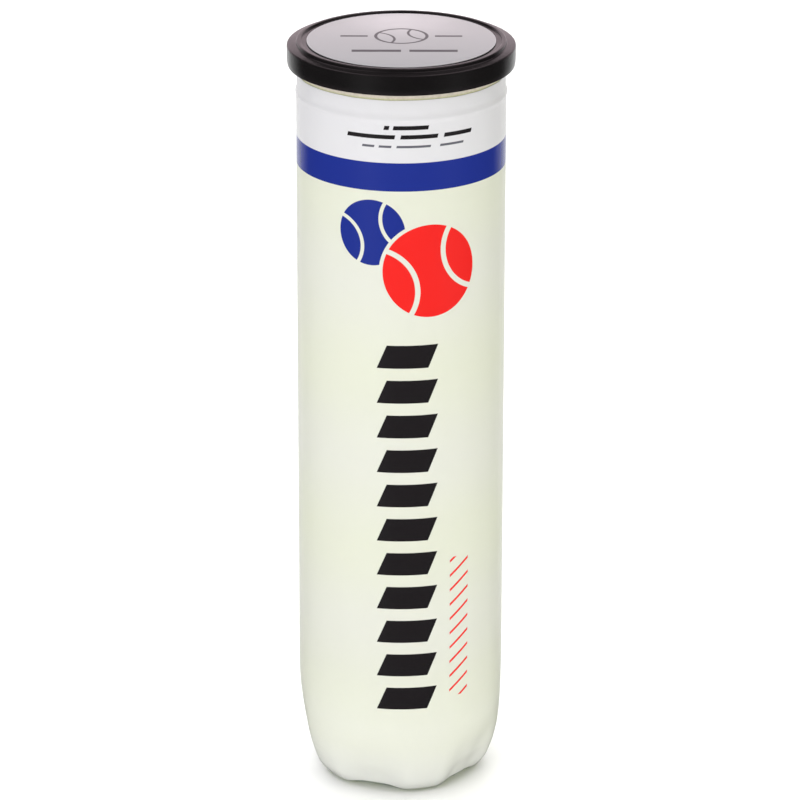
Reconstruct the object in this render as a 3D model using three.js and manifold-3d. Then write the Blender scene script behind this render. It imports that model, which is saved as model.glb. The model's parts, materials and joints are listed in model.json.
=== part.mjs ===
// Tennis ball can with a metal ring-pull end, a press-on overcap and four balls.
// Millimetres, +Z up, the floor is z = 0 and the can's axis is the Z axis. The front of the can faces -Y.
import * as THREE from 'three';
import * as BufferGeometryUtils from 'three/addons/utils/BufferGeometryUtils.js';
import Module from 'manifold-3d';

// ---------------------------------------------------------------- driving dimensions
const WALL_R = 36.45;          // outer radius of the bottle wall
const WALL_T = 0.7;            // thickness of the bottle wall
const NECK_R = 36.2;           // outer radius of the short neck under the seam
const FILM_GAP = 0.33;          // air between bottle and shrink film
const FILM_T = 0.22;           // thickness of the shrink film
const FILM_TOP = 265.8;        // top edge of the film
const BEAD_Z = 258.7;          // height of the shallow bead below the neck
const FEET = 5;                // feet of the blow-moulded base
const FOOT_TURN = -74;         // direction of the front foot, degrees from +X
const BASE_N = 40;             // segments around the lobed base
const ROUND_N = 40;            // segments around the lid parts

const SEAM_R = 38.2;           // outer radius of the double seam
const SEAM_TOP = 274.7;        // top of the double seam
const SEAM_LOW = 271.0;        // lower edge of the double seam
const LIP_R = 33.9;            // inner radius of the lip that stays after opening
const PANEL_R = 33.6;          // radius of the tear-out panel
const PANEL_TOP = 270.3;       // top of the flat part of the panel
const PANEL_T = 0.5;

const TAB_HINGE_Y = 31.0;      // the tab turns about its nose edge
const TAB_LOW = 270.7;
const TAB_T = 1.1;
const RING_Y = 12.5;           // centre of the finger ring
const RING_R = 11.5;
const HOLE_R = 8.0;
const RIVET_Y = 23.9;

const CAP_R = 40.2;            // outer radius of the overcap
const CAP_IN = 38.9;           // inner radius of its skirt
const CAP_LOW = 268.4;         // lower edge of the skirt
const CAP_LEDGE = 275.8;
const CAP_RIDGE = 277.1;
const CAP_FLOOR = 275.2;       // underside of the top plate
const PLATE_TOP = 276.4;
const LABEL_R = 33.2;
const LABEL_LOW = 276.55;
const LABEL_TOP = 276.85;

const BALL_R = 32.8;           // outside of the felt
const BALL_PITCH = 65.9;
const BALL_LOW = 6.2;          // bottom of the lowest ball
const FELT_IN = 30.2;
const CORE_R = 29.2;
const CORE_IN = 26.0;
const CORE_SPLIT = 0.15;       // half the gap between the two rubber halves
const SEAM_HALF = 1.25;        // half width of the seam strip
const FELT_EDGE = 1.6;         // distance from the seam line to the edge of the felt
const STRIP_R = 31.9;

const RAD = Math.PI / 180;
const group = new THREE.Group();
group.name = 'tennis_ball_can';

const material = (color, roughness, metalness) =>
  new THREE.MeshStandardMaterial({ color, roughness, metalness });
const PET = material(0xdfe8e6, 0.12, 0);
const FILM = material(0xeef0e6, 0.28, 0);
const GOLD = material(0xc9a552, 0.3, 1);
const TAB_METAL = material(0xc4c8cc, 0.28, 1);
const COMPOUND = material(0x8d9aa3, 0.8, 0);
const BLACK = material(0x17171a, 0.42, 0);
const LABEL = material(0xc3c4c8, 0.4, 0);
const FELT = material(0xcfe23a, 0.95, 0);
const RUBBER = material(0x55585c, 0.85, 0);
const STRIP = material(0xe9ead9, 0.8, 0);

function add(name, geometry, mat) {
  const mesh = new THREE.Mesh(geometry, mat);
  mesh.name = name;
  group.add(mesh);
  return mesh;
}

// Closed triangle mesh from loose triangles; corners at the same place are joined.
function closed(positions) {
  const g = new THREE.BufferGeometry();
  g.setAttribute('position', new THREE.Float32BufferAttribute(positions, 3));
  return BufferGeometryUtils.mergeVertices(g, 1e-4);
}

const push = (out, ...points) => { for (const p of points) out.push(p[0], p[1], p[2]); };

// Turns rings of points into a skin. Rings run anticlockwise seen from +Z; going up the list on an outer
// surface faces outward. A ring may be a single point.
function skin(out, rings, loop) {
  const m = rings.length;
  for (let i = 0; i < (loop ? m : m - 1); i++) {
    const a = rings[i], b = rings[(i + 1) % m];
    const n = Math.max(a.length, b.length);
    for (let k = 0; k < n; k++) {
      const k1 = (k + 1) % n;
      if (a.length === 1) push(out, a[0], b[k1], b[k]);
      else if (b.length === 1) push(out, a[k], a[k1], b[0]);
      else { push(out, a[k], a[k1], b[k1]); push(out, a[k], b[k1], b[k]); }
    }
  }
}

// A turned part: profile of [radius, z] pairs, walked so that the solid lies on the left-hand side when the
// outside wall runs upward. It starts and ends on the axis, or closes on itself.
function turned(profile, n, onAxis) {
  const rings = profile.map(([r, z]) => {
    if (r === 0) return [[0, 0, z]];
    const ring = [];
    for (let k = 0; k < n; k++) {
      const a = (2 * Math.PI * k) / n;
      ring.push([r * Math.cos(a), r * Math.sin(a), z]);
    }
    return ring;
  });
  const out = [];
  skin(out, rings, !onAxis);
  return closed(out);
}

// ---------------------------------------------------------------- lobed base and wall
// Outside of the bottle, as [radius, z] through a foot and through a valley. Rows match one another.
const FOOT = [
  [0, 4.8], [8, 4.6], [15, 3.5], [19.5, 1.5], [22, 0.35], [23.2, 0], [26.4, 0], [28.3, 1.2], [30.2, 3.3],
  [31.8, 5.9], [33.1, 9.2], [34.3, 13.2], [35.3, 18.5], [35.9, 25], [36.25, 33.5], [WALL_R, 44],
];
const VALLEY = [
  [0, 4.8], [8, 4.5], [15, 3.6], [19.2, 2.4], [21.6, 1.6], [23.2, 1.1], [25.4, 1.0], [27.0, 2.7], [28.2, 5.6],
  [29.1, 8.6], [30.1, 11.8], [31.6, 15.6], [33.5, 20.5], [35.2, 26.5], [36.2, 34.5], [WALL_R, 44],
];
// Plain wall, bead, neck and the start of the flange.
const STRAIGHT = [
  [WALL_R, 256.3], [WALL_R + 0.25, 258.2], [WALL_R + 0.25, 259.2], [NECK_R, 261.2],
];

function footWeight(angle) {
  const c = (1 + Math.cos(FEET * (angle - FOOT_TURN * RAD))) / 2;
  const x = Math.min(1, c / 0.85);
  return x * x * (3 - 2 * x);
}

// Ring of the lobed skin for a row, moved along the profile's normal by off.
function lobedRing(row, off, rows) {
  const ring = [];
  if (row === 0 && rows === undefined) {
    return [[0, 0, FOOT[0][1] - off]];
  }
  for (let k = 0; k < BASE_N; k++) {
    const a = FOOT_TURN * RAD + (2 * Math.PI * k) / BASE_N;
    const w = footWeight(a);
    const at = (i) => [
      VALLEY[i][0] + (FOOT[i][0] - VALLEY[i][0]) * w,
      VALLEY[i][1] + (FOOT[i][1] - VALLEY[i][1]) * w,
    ];
    const p = at(row);
    const before = at(Math.max(0, row - 1));
    const after = row === FOOT.length - 1 ? [p[0], p[1] + 10] : at(row + 1);
    // The mean of the two segment normals keeps a thin wall even around the bends.
    const n1 = [p[1] - before[1], -(p[0] - before[0])];
    const n2 = [after[1] - p[1], -(after[0] - p[0])];
    const l1 = Math.hypot(...n1) || 1, l2 = Math.hypot(...n2) || 1;
    let nr = n1[0] / l1 + n2[0] / l2, nz = n1[1] / l1 + n2[1] / l2;
    const l = Math.hypot(nr, nz);
    nr /= l; nz /= l;
    const r = p[0] + nr * off, z = p[1] + nz * off;
    ring.push([r * Math.cos(a), r * Math.sin(a), z]);
  }
  return ring;
}

function roundRing(r, z) {
  const ring = [];
  for (let k = 0; k < BASE_N; k++) {
    const a = FOOT_TURN * RAD + (2 * Math.PI * k) / BASE_N;
    ring.push([r * Math.cos(a), r * Math.sin(a), z]);
  }
  return ring;
}

{
  const rings = [];
  const last = FOOT.length - 1;
  rings.push([[0, 0, FOOT[0][1]]]);
  for (let i = 1; i <= last; i++) rings.push(lobedRing(i, 0));
  for (const [r, z] of STRAIGHT) rings.push(roundRing(r, z));
  rings.push(roundRing(NECK_R, 271.7), roundRing(37.0, 272.2), roundRing(37.4, 272.5), roundRing(37.4, 273.0));
  rings.push(roundRing(NECK_R - 0.2, 273.2));
  rings.push(roundRing(NECK_R - WALL_T + 0.15, 272.8));
  for (const [r, z] of STRAIGHT.slice().reverse()) rings.push(roundRing(r === WALL_R + 0.25 ? WALL_R - WALL_T : r - WALL_T, z));
  for (let i = last; i >= 1; i--) rings.push(lobedRing(i, -WALL_T));
  rings.push([[0, 0, FOOT[0][1] + WALL_T]]);
  const out = [];
  skin(out, rings, false);
  add('bottle_shell', closed(out), PET);
}

{
  const first = 7;               // the film ends just outside the foot's contact face
  const last = FOOT.length - 1;
  const lo = FILM_GAP, hi = FILM_GAP + FILM_T;
  const rings = [];
  for (let i = first; i <= last; i++) rings.push(lobedRing(i, hi));
  for (const [r, z] of STRAIGHT) rings.push(roundRing(r + hi, z));
  rings.push(roundRing(NECK_R + hi, FILM_TOP), roundRing(NECK_R + lo, FILM_TOP));
  for (const [r, z] of STRAIGHT.slice().reverse()) rings.push(roundRing(r + lo, z));
  for (let i = last; i >= first; i--) rings.push(lobedRing(i, lo));
  const out = [];
  skin(out, rings, true);
  add('printed_sleeve', closed(out), FILM);
}

// ---------------------------------------------------------------- metal end
add('end_ring', turned([
  [37.85, SEAM_LOW], [SEAM_R, SEAM_LOW + 0.35], [SEAM_R, SEAM_TOP - 0.45], [37.75, SEAM_TOP], [35.6, SEAM_TOP],
  [35.0, SEAM_TOP - 0.5], [34.9, PANEL_TOP + 0.45], [34.65, PANEL_TOP], [LIP_R, PANEL_TOP],
  [LIP_R, PANEL_TOP - PANEL_T], [35.1, PANEL_TOP - PANEL_T], [35.35, PANEL_TOP - 0.1], [35.35, 273.9],
  [35.7, 274.25], [37.55, 274.25], [37.8, 274.0], [37.8, 271.55], [36.75, 271.4], [36.75, SEAM_LOW],
], ROUND_N, false), GOLD);

add('sealing_ring', turned([
  [35.95, 273.5], [37.35, 273.5], [37.35, 273.95], [35.95, 273.95],
], ROUND_N, false), COMPOUND);

// Tear-out panel: flat centre, one shallow bead and a raised rim beside the score.
add('tear_panel', turned([
  [0, PANEL_TOP - PANEL_T], [26.6, PANEL_TOP - PANEL_T], [27.6, PANEL_TOP - PANEL_T - 0.7],
  [29.8, PANEL_TOP - PANEL_T - 0.7], [30.9, PANEL_TOP - PANEL_T], [PANEL_R, PANEL_TOP - PANEL_T],
  [PANEL_R, PANEL_TOP], [31.1, PANEL_TOP], [30.0, PANEL_TOP - 0.7], [27.4, PANEL_TOP - 0.7],
  [26.4, PANEL_TOP], [0, PANEL_TOP],
], ROUND_N, true), GOLD);

// ---------------------------------------------------------------- booleans
const wasm = await Module();
wasm.setup();

function solid(geometry) {
  const g = geometry.clone();
  g.deleteAttribute('normal');
  if (g.getAttribute('uv')) g.deleteAttribute('uv');
  const m = BufferGeometryUtils.mergeVertices(g, 1e-4);
  return new wasm.Manifold(new wasm.Mesh({
    numProp: 3,
    vertProperties: new Float32Array(m.getAttribute('position').array),
    triVerts: new Uint32Array(m.index.array),
  }));
}

function geometryOf(manifold) {
  const mesh = manifold.getMesh();
  const g = new THREE.BufferGeometry();
  g.setAttribute('position', new THREE.BufferAttribute(new Float32Array(mesh.vertProperties), 3));
  g.setIndex(new THREE.BufferAttribute(new Uint32Array(mesh.triVerts), 1));
  return BufferGeometryUtils.mergeVertices(g, 1e-4);
}

// ---------------------------------------------------------------- pull tab
// A finger ring with a nose. The nose has a window in which the tongue under the rivet stays behind.
{
  const s = new THREE.Shape();
  const half = 6.6;              // half width of the nose
  const join = Math.asin(half / RING_R);
  const y0 = RING_Y + RING_R * Math.cos(join);
  s.moveTo(half, y0);
  s.lineTo(half, TAB_HINGE_Y - 2.2);
  s.lineTo(half - 1.9, TAB_HINGE_Y);
  s.lineTo(-half + 1.9, TAB_HINGE_Y);
  s.lineTo(-half, TAB_HINGE_Y - 2.2);
  s.lineTo(-half, y0);
  const steps = 22;
  for (let i = 1; i < steps; i++) {
    const a = Math.PI / 2 + join + ((2 * Math.PI - 2 * join) * i) / steps;
    s.lineTo(RING_R * Math.cos(a), RING_Y + RING_R * Math.sin(a));
  }
  s.closePath();
  const hole = new THREE.Path();
  for (let i = 0; i < 24; i++) {
    const a = (-2 * Math.PI * i) / 24;
    const p = [HOLE_R * Math.cos(a), RING_Y - 0.6 + HOLE_R * Math.sin(a)];
    if (i === 0) hole.moveTo(...p); else hole.lineTo(...p);
  }
  hole.closePath();
  const pane = new THREE.Path();
  const w = [[4.5, 20.9], [4.5, 27.6], [3.7, 28.3], [-3.7, 28.3], [-4.5, 27.6], [-4.5, 20.9]];
  w.reverse().forEach((p, i) => { if (i === 0) pane.moveTo(...p); else pane.lineTo(...p); });
  pane.closePath();
  s.holes.push(hole, pane);
  const g = new THREE.ExtrudeGeometry(s, { depth: TAB_T, bevelEnabled: false, steps: 1 });
  g.translate(0, 0, TAB_LOW);
  add('pull_tab', geometryOf(solid(g)), TAB_METAL);
}

// Rivet formed from the panel's own metal, with the tab's tongue held under its head.
{
  const tongue = new THREE.Shape();
  const w = 3.9;
  tongue.moveTo(-w, 21.3); tongue.lineTo(w, 21.3); tongue.lineTo(w, 26.6);
  tongue.lineTo(w - 1.2, 27.8); tongue.lineTo(-w + 1.2, 27.8); tongue.lineTo(-w, 26.6);
  tongue.closePath();
  const plate = new THREE.ExtrudeGeometry(tongue, { depth: 0.55, bevelEnabled: false, steps: 1 });
  plate.translate(0, 0, TAB_LOW + 0.1);
  const head = turned([
    [0, TAB_LOW - 0.05], [1.7, TAB_LOW - 0.05], [1.7, TAB_LOW + 0.5], [2.9, TAB_LOW + 0.5], [2.9, TAB_LOW + 1.0],
    [2.5, TAB_LOW + 1.3], [0, TAB_LOW + 1.35],
  ], 20, true);
  head.translate(0, RIVET_Y, 0);
  add('rivet_and_tongue', geometryOf(solid(plate).add(solid(head))), TAB_METAL);
}

// ---------------------------------------------------------------- overcap
add('overcap', turned([
  [0, CAP_FLOOR], [38.5, CAP_FLOOR], [CAP_IN, CAP_FLOOR - 0.4], [CAP_IN, 270.8], [38.5, 270.2], [38.95, 269.5],
  [39.1, CAP_LOW], [CAP_R - 0.15, CAP_LOW], [CAP_R, CAP_LOW + 0.2], [CAP_R, CAP_LEDGE - 0.5],
  [CAP_R - 0.5, CAP_LEDGE], [37.0, CAP_LEDGE], [36.7, CAP_RIDGE - 0.35], [36.35, CAP_RIDGE],
  [35.7, CAP_RIDGE], [35.35, CAP_RIDGE - 0.3], [35.1, PLATE_TOP], [0, PLATE_TOP],
], ROUND_N, true), BLACK);

add('lid_label', turned([
  [0, LABEL_LOW], [LABEL_R, LABEL_LOW], [LABEL_R, LABEL_TOP], [0, LABEL_TOP],
], ROUND_N, true), LABEL);

// ---------------------------------------------------------------- balls
// Closed seam line of a tennis ball on the unit sphere. It has a period of 2 pi.
const SB = 0.22, SA = 1 - SB, SC = 2 * Math.sqrt(SA * SB);
function seamPoint(t) {
  return new THREE.Vector3(
    SA * Math.cos(t) + SB * Math.cos(3 * t),
    SA * Math.sin(t) - SB * Math.sin(3 * t),
    SC * Math.sin(2 * t),
  ).normalize();
}
function seamSide(t) {
  const d = seamPoint(t + 1e-3).sub(seamPoint(t - 1e-3));
  return new THREE.Vector3().crossVectors(seamPoint(t), d).normalize();
}
// Point beside the seam line, dist millimetres along the surface of the felt towards panel A (+) or B (-).
function beside(t, dist) {
  const w = dist / BALL_R;
  const p = seamPoint(t), q = seamSide(t);
  return p.multiplyScalar(Math.cos(w)).addScaledVector(q, Math.sin(w)).normalize();
}
function slerp(a, b, f) {
  const ang = a.angleTo(b);
  if (ang < 1e-6) return a.clone();
  return a.clone().multiplyScalar(Math.sin((1 - f) * ang) / Math.sin(ang))
    .addScaledVector(b, Math.sin(f * ang) / Math.sin(ang)).normalize();
}
const sideSign = seamSide(Math.PI / 4).z > 0 ? 1 : -1;   // panel A holds the +z pole

function feltPanel() {
  const nu = 18, nv = 6;
  const rows = [];
  for (let i = 0; i <= nu; i++) {
    const u = -Math.PI / 4 + (Math.PI * i) / nu;
    const a = beside(u, sideSign * FELT_EDGE), b = beside(-Math.PI / 2 - u, sideSign * FELT_EDGE);
    if (i === 0 || i === nu) { rows.push([a]); continue; }
    const row = [];
    for (let j = 0; j <= nv; j++) row.push(slerp(a, b, j / nv));
    rows.push(row);
  }
  const out = [];
  const at = (v, r) => [v.x * r, v.y * r, v.z * r];
  const tri = (r, flip, a, b, c) => {
    const t = [at(a, r), at(b, r), at(c, r)];
    if (flip) t.reverse();
    push(out, ...t);
  };
  for (const [r, flip] of [[BALL_R, false], [FELT_IN, true]]) {
    for (let i = 0; i < nu; i++) {
      const a = rows[i], b = rows[i + 1];
      for (let j = 0; j < nv; j++) {
        if (a.length === 1) tri(r, flip, a[0], b[j], b[j + 1]);
        else if (b.length === 1) tri(r, flip, a[j], b[0], a[j + 1]);
        else { tri(r, flip, a[j], b[j], b[j + 1]); tri(r, flip, a[j], b[j + 1], a[j + 1]); }
      }
    }
  }
  // Edge of the felt: along j = 0 forwards and along j = nv back.
  const edge = [];
  for (let i = 0; i <= nu; i++) edge.push(rows[i][0]);
  for (let i = nu - 1; i >= 1; i--) edge.push(rows[i][nv]);
  for (let i = 0; i < edge.length; i++) {
    const a = edge[i], b = edge[(i + 1) % edge.length];
    push(out, at(a, FELT_IN), at(b, FELT_IN), at(b, BALL_R));
    push(out, at(a, FELT_IN), at(b, BALL_R), at(a, BALL_R));
  }
  return out;
}

function seamStrip() {
  const n = 40, out = [];
  const rings = [];
  for (let k = 0; k < n; k++) {
    const t = (2 * Math.PI * k) / n;
    const a = beside(t, sideSign * SEAM_HALF), b = beside(t, -sideSign * SEAM_HALF);
    const at = (v, r) => [v.x * r, v.y * r, v.z * r];
    rings.push([at(a, FELT_IN), at(b, FELT_IN), at(b, STRIP_R), at(a, STRIP_R)]);
  }
  for (let k = 0; k < n; k++) {
    const a = rings[k], b = rings[(k + 1) % n];
    for (let j = 0; j < 4; j++) {
      const j1 = (j + 1) % 4;
      push(out, a[j], b[j1], b[j]);
      push(out, a[j], a[j1], b[j1]);
    }
  }
  return out;
}

// The signed volume tells which way the triangles face.
function facingOut(positions) {
  let v = 0;
  for (let i = 0; i < positions.length; i += 9) {
    const [ax, ay, az, bx, by, bz, cx, cy, cz] = positions.slice(i, i + 9);
    v += ax * (by * cz - bz * cy) + ay * (bz * cx - bx * cz) + az * (bx * cy - by * cx);
  }
  if (v > 0) return positions;
  const out = [];
  for (let i = 0; i < positions.length; i += 9) {
    out.push(...positions.slice(i, i + 3), ...positions.slice(i + 6, i + 9), ...positions.slice(i + 3, i + 6));
  }
  return out;
}

// Hollow half of the rubber core, opening towards its flat rim at z = CORE_SPLIT.
function coreHalf() {
  const outer = [], inner = [], n = 5;
  const o0 = Math.asin(CORE_SPLIT / CORE_R), i0 = Math.asin(CORE_SPLIT / CORE_IN);
  for (let i = 0; i <= n; i++) {
    const a = o0 + ((Math.PI / 2 - o0) * i) / n;
    outer.push(i === n ? [0, CORE_R] : [CORE_R * Math.cos(a), CORE_R * Math.sin(a)]);
  }
  for (let i = n - 1; i >= 0; i--) {
    const a = i0 + ((Math.PI / 2 - i0) * i) / (n - 1);
    inner.push(i === n - 1 ? [0, CORE_IN] : [CORE_IN * Math.cos(a), CORE_IN * Math.sin(a)]);
  }
  // Inner dome top, down the hollow to the rim, out across the rim and up the outside.
  const profile = [...inner, ...outer];
  return turned(profile, 16, true);
}

const feltA = facingOut(feltPanel());
const strip = facingOut(seamStrip());
const core = coreHalf();
const turns = [[28, 34, 12], [-52, 18, 70], [15, -40, 155], [66, 25, -35]];   // each ball lies its own way
for (let i = 0; i < 4; i++) {
  const z = BALL_LOW + BALL_R + BALL_PITCH * i;
  const m = new THREE.Matrix4().makeRotationFromEuler(
    new THREE.Euler(turns[i][0] * RAD, turns[i][1] * RAD, turns[i][2] * RAD, 'XYZ'));
  m.setPosition(0, 0, z);
  const flip = new THREE.Matrix4().makeRotationX(Math.PI);
  const mB = m.clone().multiply(flip);
  const name = `ball_${i + 1}`;
  add(`${name}_core_half_a`, core.clone().applyMatrix4(m), RUBBER);
  add(`${name}_core_half_b`, core.clone().applyMatrix4(mB), RUBBER);
  add(`${name}_felt_a`, closed(feltA).applyMatrix4(m), FELT);
  add(`${name}_felt_b`, closed(feltA).applyMatrix4(mB), FELT);
  add(`${name}_seam`, closed(strip).applyMatrix4(m), STRIP);
}

export default group;
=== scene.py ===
import json
import math

import bpy
import bmesh
import numpy as np
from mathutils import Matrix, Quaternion, Vector, geometry


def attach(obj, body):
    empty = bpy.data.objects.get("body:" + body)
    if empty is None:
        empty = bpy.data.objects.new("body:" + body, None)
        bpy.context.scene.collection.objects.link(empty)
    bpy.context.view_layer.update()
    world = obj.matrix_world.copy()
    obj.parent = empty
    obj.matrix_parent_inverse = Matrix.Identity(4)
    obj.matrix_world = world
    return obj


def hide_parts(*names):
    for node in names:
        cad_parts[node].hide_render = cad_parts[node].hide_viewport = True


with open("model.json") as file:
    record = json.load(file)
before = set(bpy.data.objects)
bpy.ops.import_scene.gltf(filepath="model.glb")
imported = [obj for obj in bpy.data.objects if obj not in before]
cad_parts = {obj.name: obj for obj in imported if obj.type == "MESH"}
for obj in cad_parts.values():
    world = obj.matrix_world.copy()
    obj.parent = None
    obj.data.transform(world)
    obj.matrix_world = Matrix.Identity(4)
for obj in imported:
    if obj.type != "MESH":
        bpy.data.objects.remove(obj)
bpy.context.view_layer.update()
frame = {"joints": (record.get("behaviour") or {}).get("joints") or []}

MM = 0.001
TAU = 2 * math.pi
scene = bpy.context.scene
scene.view_settings.view_transform = "Standard"
scene.view_settings.look = "None"
scene.view_settings.exposure = 0.0
scene.view_settings.gamma = 1.0
rng = np.random.default_rng(7)


# ------------------------------------------------------------------ mesh helpers (all sizes in millimetres here)
def new_object(name, verts, faces, sharp=None, mats=(), index=None, smooth=True):
    """An object from vertices in millimetres. sharp is the angle in degrees above which an edge stays sharp."""
    me = bpy.data.meshes.new(name)
    me.from_pydata([tuple(float(c) * MM for c in v) for v in verts], [], [list(map(int, f)) for f in faces])
    me.validate()
    me.update()
    if smooth:
        me.polygons.foreach_set("use_smooth", [True] * len(me.polygons))
        if sharp:
            me.set_sharp_from_angle(angle=math.radians(sharp))
    for m in mats:
        me.materials.append(m)
    if index is not None:
        me.polygons.foreach_set("material_index", list(index)[: len(me.polygons)])
    o = bpy.data.objects.new(name, me)
    scene.collection.objects.link(o)
    return o


def rings_to_faces(count, n, first, wrap_rows=False, start=0):
    """Quads between rows of n points each. first is the index of the first row's first point."""
    faces = []
    last = count if wrap_rows else count - 1
    for i in range(start, last):
        a = first + i * n
        b = first + ((i + 1) % count) * n
        for k in range(n):
            k1 = (k + 1) % n
            faces.append((a + k, a + k1, b + k1, b + k))
    return faces


def turned(name, profile, n, closed, sharp=35, mats=(), slot_of=None, centre=(0, 0), wobble=None):
    """A turned piece. profile is [(r, z)], the outside walked upwards; it closes on itself, or starts and ends on the axis."""
    ang = np.arange(n) * TAU / n
    verts, faces, index = [], [], []
    rows = []
    for i, (r, z) in enumerate(profile):
        if r <= 1e-6:
            rows.append([len(verts)])
            verts.append((centre[0], centre[1], z))
        else:
            rows.append(list(range(len(verts), len(verts) + n)))
            rr = np.full(n, r)
            zz = np.full(n, z)
            if wobble is not None:
                rr, zz = wobble(rr, zz, ang)
            for a, q, h in zip(ang, rr, zz):
                verts.append((centre[0] + q * math.cos(a), centre[1] + q * math.sin(a), h))
    m = len(rows)
    for i in range(m if closed else m - 1):
        a, b = rows[i], rows[(i + 1) % m]
        s = slot_of(i) if slot_of else 0
        for k in range(n):
            k1 = (k + 1) % n
            if len(a) == 1 and len(b) == 1:
                break
            if len(a) == 1:
                faces.append((a[0], b[k1], b[k]))
            elif len(b) == 1:
                faces.append((a[k], a[k1], b[0]))
            else:
                faces.append((a[k], a[k1], b[k1], b[k]))
            index.append(s)
    return new_object(name, verts, faces, sharp, mats, index)


def fillet(profile, radii, steps=5, closed=False):
    """Rounds the corners of a profile. radii maps a corner's index to a radius in millimetres."""
    out = []
    n = len(profile)
    for i, p in enumerate(profile):
        r = radii.get(i, 0)
        if not r or (not closed and i in (0, n - 1)):
            out.append(p)
            continue
        a, b = np.array(profile[i - 1], float), np.array(profile[(i + 1) % n], float)
        c = np.array(p, float)
        u, v = a - c, b - c
        lu, lv = np.linalg.norm(u), np.linalg.norm(v)
        u, v = u / lu, v / lv
        ang = math.acos(max(-1, min(1, float(u @ v))))
        if ang > math.pi - 0.02:
            out.append(p)
            continue
        t = min(r / math.tan(ang / 2), lu * 0.49, lv * 0.49)
        rr = t * math.tan(ang / 2)
        bis = (u + v) / np.linalg.norm(u + v)
        centre = c + bis * rr / math.sin(ang / 2)
        p0, p1 = c + u * t, c + v * t
        a0 = math.atan2(p0[1] - centre[1], p0[0] - centre[0])
        a1 = math.atan2(p1[1] - centre[1], p1[0] - centre[0])
        d = (a1 - a0 + math.pi) % TAU - math.pi
        for s in range(steps + 1):
            q = a0 + d * s / steps
            out.append((centre[0] + rr * math.cos(q), centre[1] + rr * math.sin(q)))
    return out


# ------------------------------------------------------------------ node helpers
def new_material(name):
    mat = bpy.data.materials.new(name)
    mat.use_nodes = True
    nt = mat.node_tree
    nt.nodes.clear()
    out = nt.nodes.new("ShaderNodeOutputMaterial")
    return mat, nt, out


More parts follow.
